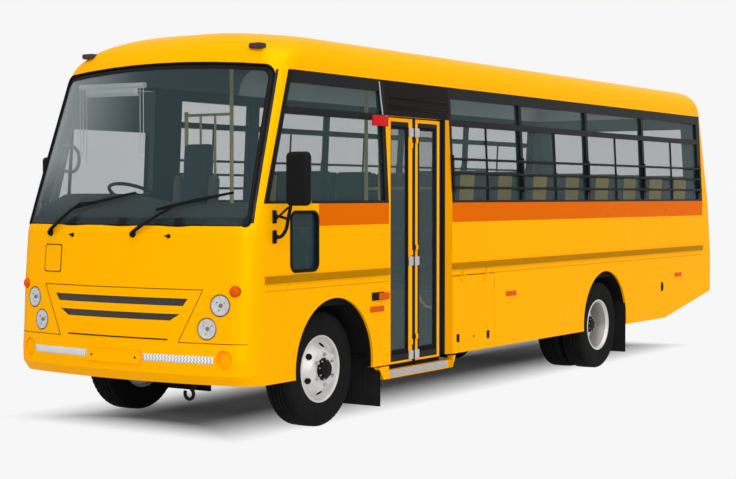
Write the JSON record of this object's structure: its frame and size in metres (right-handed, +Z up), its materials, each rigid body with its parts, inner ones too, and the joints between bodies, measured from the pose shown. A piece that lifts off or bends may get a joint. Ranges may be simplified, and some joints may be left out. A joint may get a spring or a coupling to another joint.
{
  "type": "school bus",
  "caption": "Single-deck school bus with a folding entrance door, raked curved windscreen, barred side windows, steered front wheels and twin rear wheels.",
  "frame": {"origin": "middle of the bus's box in plan, at road level", "axes": "+X towards the front, +Y to the bus's left, +Z up"},
  "size_m": [8.8, 2.8, 2.92],
  "materials": {
    "body_paint": "gloss",
    "trim_black": "satin",
    "frame_black": "satin",
    "chassis_black": "satin",
    "engine_iron": "matte",
    "wheel_silver": "satin",
    "tyre_rubber": "matte",
    "flap_rubber": "matte",
    "clear_glass": "gloss",
    "lamp_clear": "gloss",
    "lamp_amber": "gloss",
    "lamp_red": "gloss",
    "floor_board": "matte",
    "step_metal": "satin",
    "dash_grey": "matte",
    "seat_cloth": "matte",
    "seat_frame": "satin",
    "pole_paint": "gloss"
  },
  "bodies": {
    "bus": {"chassis_frame": "chassis_black", "front_axle": "chassis_black", "rear_axle": "chassis_black", "propeller_shaft": "chassis_black", "leaf_springs": "chassis_black", "fuel_tank": "chassis_black", "engine": "engine_iron", "exhaust": "engine_iron", "radiator": "frame_black", "left_window_frames": "frame_black", "right_window_frames": "frame_black", "guard_bars": "frame_black", "floor": "floor_board", "step_well": "step_metal", "door_surround": "body_paint", "front_mask": "body_paint", "grille_panel": "body_paint", "front_bumper": "body_paint", "plate_holder": "body_paint", "roof": "body_paint", "rear_wall": "body_paint", "left_side": "body_paint", "right_side": "body_paint", "rub_rails": "body_paint", "rear_bumper": "trim_black", "filler_caps": "trim_black", "left_mirror": "trim_black", "arch_liners": "trim_black", "steering_wheel": "trim_black", "windscreen": "clear_glass", "window_glass": "clear_glass", "headlamps": "lamp_clear", "amber_lamps": "lamp_amber", "tail_lamps": "lamp_red", "mudflaps": "flap_rubber", "dashboard": "dash_grey", "engine_cover": "dash_grey", "seat_frames": "seat_frame", "seat_cushions": "seat_cloth", "seat_backs": "seat_cloth", "grab_poles": "pole_paint"},
    "front_left_steering": {"front_left_knuckle": "chassis_black"},
    "front_right_steering": {"front_right_knuckle": "chassis_black"},
    "front_left_wheel": {"front_left_rim": "wheel_silver", "front_left_tyre": "tyre_rubber"},
    "front_right_wheel": {"front_right_rim": "wheel_silver", "front_right_tyre": "tyre_rubber"},
    "rear_left_wheels": {"rear_left_rims": "wheel_silver", "rear_left_tyres": "tyre_rubber"},
    "rear_right_wheels": {"rear_right_rims": "wheel_silver", "rear_right_tyres": "tyre_rubber"},
    "passenger_door_front": {"door_front_leaf": "body_paint", "door_front_glass": "clear_glass"},
    "passenger_door_rear": {"door_rear_leaf": "body_paint", "door_rear_glass": "clear_glass"},
    "driver_door": {"driver_door": "body_paint", "driver_door_glass": "clear_glass", "right_mirror": "trim_black"},
    "side_flap": {"side_flap": "body_paint"}
  },
  "joints": [
    {"name": "steer_left", "type": "hinge", "parent": "bus", "child": "front_left_steering", "pos_m": [3.22, 0.7, 0.426], "axis": [0, 0, 1], "range_deg": [-34, 34]},
    {"name": "steer_right", "type": "hinge", "parent": "bus", "child": "front_right_steering", "pos_m": [3.22, -0.7, 0.426], "axis": [0, 0, 1], "range_deg": [-34, 34]},
    {"name": "front_left_spin", "type": "hinge", "parent": "front_left_steering", "child": "front_left_wheel", "pos_m": [3.22, 0.86, 0.426], "axis": [0, 1, 0], "continuous": true},
    {"name": "front_right_spin", "type": "hinge", "parent": "front_right_steering", "child": "front_right_wheel", "pos_m": [3.22, -0.86, 0.426], "axis": [0, 1, 0], "continuous": true},
    {"name": "rear_left_spin", "type": "hinge", "parent": "bus", "child": "rear_left_wheels", "pos_m": [-1.48, 0.79, 0.426], "axis": [0, 1, 0], "continuous": true},
    {"name": "rear_right_spin", "type": "hinge", "parent": "bus", "child": "rear_right_wheels", "pos_m": [-1.48, -0.79, 0.426], "axis": [0, 1, 0], "continuous": true},
    {"name": "passenger_door_swing", "type": "hinge", "parent": "bus", "child": "passenger_door_front", "pos_m": [2.445, 1.027, 1.347], "axis": [0, 0, 1], "range_deg": [0, 84]},
    {"name": "passenger_door_fold", "type": "hinge", "parent": "passenger_door_front", "child": "passenger_door_rear", "pos_m": [2.047, 1.053, 1.347], "axis": [0, 0, 1], "range_deg": [-168, 0]},
    {"name": "driver_door_swing", "type": "hinge", "parent": "bus", "child": "driver_door", "pos_m": [3.972, -1.112, 1.3], "axis": [0, 0, 1], "range_deg": [0, 65]},
    {"name": "side_flap_lift", "type": "hinge", "parent": "bus", "child": "side_flap", "pos_m": [1.17, 1.11, 1.039], "axis": [1, 0, 0], "range_deg": [0, 95]}
  ],
  "couplings": [
    {"joint": "steer_right", "follows": "steer_left", "ratio": 1},
    {"joint": "passenger_door_fold", "follows": "passenger_door_swing", "ratio": -2}
  ]
}
